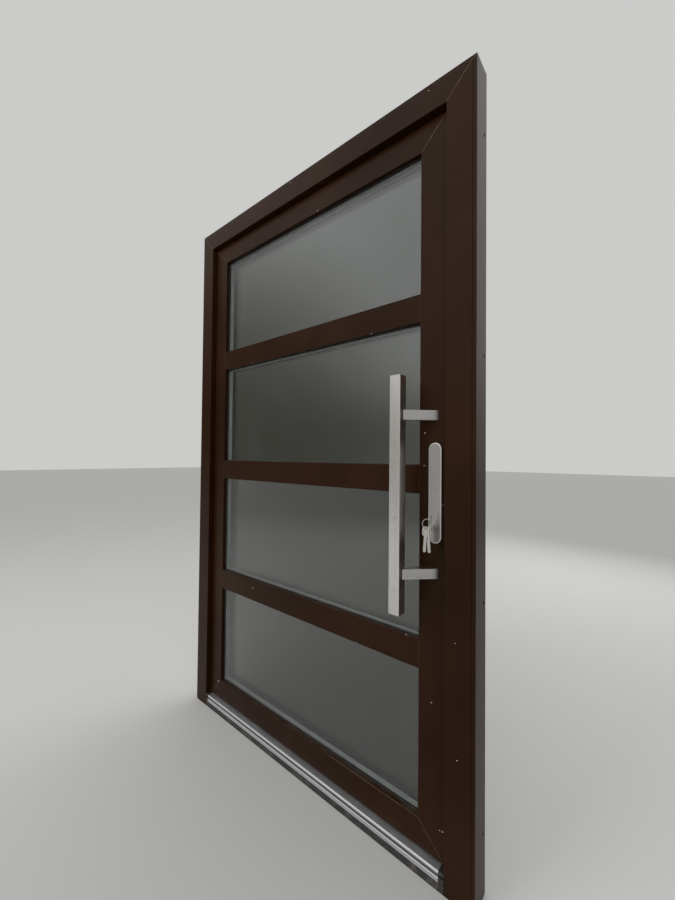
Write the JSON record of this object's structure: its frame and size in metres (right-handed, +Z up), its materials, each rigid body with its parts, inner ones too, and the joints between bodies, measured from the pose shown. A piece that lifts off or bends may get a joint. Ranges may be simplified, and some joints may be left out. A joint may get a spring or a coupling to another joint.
{
  "type": "glass entrance door",
  "caption": "Glazed aluminium entrance door in its frame, with stacked panes, square pull bars on slanted supports, a long lock plate, keys on a ring and a threshold.",
  "frame": {"origin": "middle of the threshold's underside, half way through the frame's depth", "axes": "+X to the right seen from outside, +Y inwards through the door, +Z up"},
  "size_m": [1.2, 0.221, 2.015],
  "materials": {
    "profile": "satin chocolate-brown powder coat",
    "mill_aluminium": "plain",
    "anodised": "natural anodised",
    "dark_plastic": "matte",
    "seal": "matte",
    "pane": "clear float glass",
    "stainless": "brushed",
    "screws": "plain",
    "nickel_brass": "satin nickel plated",
    "key_metal": "nickel plated"
  },
  "bodies": {
    "frame": {"frame_head": "profile", "frame_hinge_jamb": "profile", "frame_lock_jamb": "profile", "frame_corner_cleats": "mill_aluminium", "threshold": "anodised", "threshold_base": "dark_plastic", "threshold_end_caps": "dark_plastic", "frame_gasket": "seal", "strike_plate": "stainless", "strike_screws": "screws", "hinge_frame_halves": "profile", "hinge_frame_screws": "screws", "hinge_pins": "profile", "strike_blocks": "mill_aluminium"},
    "lock_core": {"plug_outer": "nickel_brass", "cylinder_cam": "nickel_brass", "thumbturn": "nickel_brass"},
    "deadbolt": {"deadbolt": "stainless"},
    "roller_slide": {"roller_slide": "stainless"},
    "roller": {"roller": "stainless"},
    "key": {"key": "key_metal"},
    "key_ring": {"key_ring": "key_metal"},
    "spare_key_1": {"spare_key_1": "key_metal"},
    "spare_key_2": {"spare_key_2": "key_metal"},
    "leaf": {"stile_hinge": "profile", "stile_lock": "profile", "rail_top": "profile", "rail_bottom": "profile", "muntin_upper": "profile", "muntin_middle": "profile", "muntin_lower": "profile", "glazing_beads": "profile", "hinge_leaf_halves": "profile", "leaf_corner_cleats": "mill_aluminium", "spacers": "mill_aluminium", "setting_blocks": "dark_plastic", "hinge_bushes": "dark_plastic", "bar_support_pads": "dark_plastic", "leaf_gasket": "seal", "glazing_gaskets": "seal", "bottom_brush": "seal", "outer_pane_1": "pane", "outer_pane_2": "pane", "outer_pane_3": "pane", "outer_pane_4": "pane", "inner_panes": "pane", "pull_bar_outer": "stainless", "pull_bar_inner": "stainless", "bar_supports_outer": "stainless", "bar_supports_inner": "stainless", "bar_end_caps": "stainless", "escutcheon_outer": "stainless", "escutcheon_inner": "stainless", "lock_faceplate": "stainless", "bar_studs": "stainless", "lock_case": "stainless", "hinge_leaf_screws": "screws", "lock_screws": "screws", "escutcheon_screws": "screws", "cylinder_body": "nickel_brass"}
  },
  "joints": [
    {"name": "leaf_swing", "type": "hinge", "parent": "frame", "child": "leaf", "pos_m": [-0.551, 0.057, 0], "axis": [0, 0, 1], "range_deg": [0, 95]},
    {"name": "lock_turn", "type": "hinge", "parent": "leaf", "child": "lock_core", "pos_m": [0.493, 0.02, 0.897], "axis": [0, 1, 0], "range_deg": [0, 360]},
    {"name": "bolt_throw", "type": "slide", "parent": "leaf", "child": "deadbolt", "axis": [1, 0, 0], "range_m": [0, 0.02]},
    {"name": "key_pull", "type": "slide", "parent": "lock_core", "child": "key", "axis": [0, -1, 0], "range_m": [0, 0.035]},
    {"name": "ring_swing", "type": "hinge", "parent": "key", "child": "key_ring", "pos_m": [0.493, -0.0505, 0.897], "axis": [1, 0, 0], "range_deg": [-60, 10]},
    {"name": "spare_key_1_swing", "type": "hinge", "parent": "key_ring", "child": "spare_key_1", "pos_m": [0.4858, -0.05517, 0.87528], "axis": [-0.1219, -0.9925, 0], "range_deg": [-15, 15]},
    {"name": "spare_key_2_swing", "type": "hinge", "parent": "key_ring", "child": "spare_key_2", "pos_m": [0.48941, -0.05283, 0.87528], "axis": [-0.1219, -0.9925, 0], "range_deg": [-15, 15]},
    {"name": "roller_push", "type": "slide", "parent": "leaf", "child": "roller_slide", "axis": [1, 0, 0], "range_m": [-0.005, 0], "stiffness_N_per_m": 1000, "springref_m": 0.004},
    {"name": "roller_spin", "type": "hinge", "parent": "roller_slide", "child": "roller", "pos_m": [0.5257, 0.02, 0.997], "axis": [0, 0, 1], "continuous": true}
  ],
  "couplings": [
    {"joint": "bolt_throw", "follows": "lock_turn", "m_per_rad": 0.003183}
  ]
}
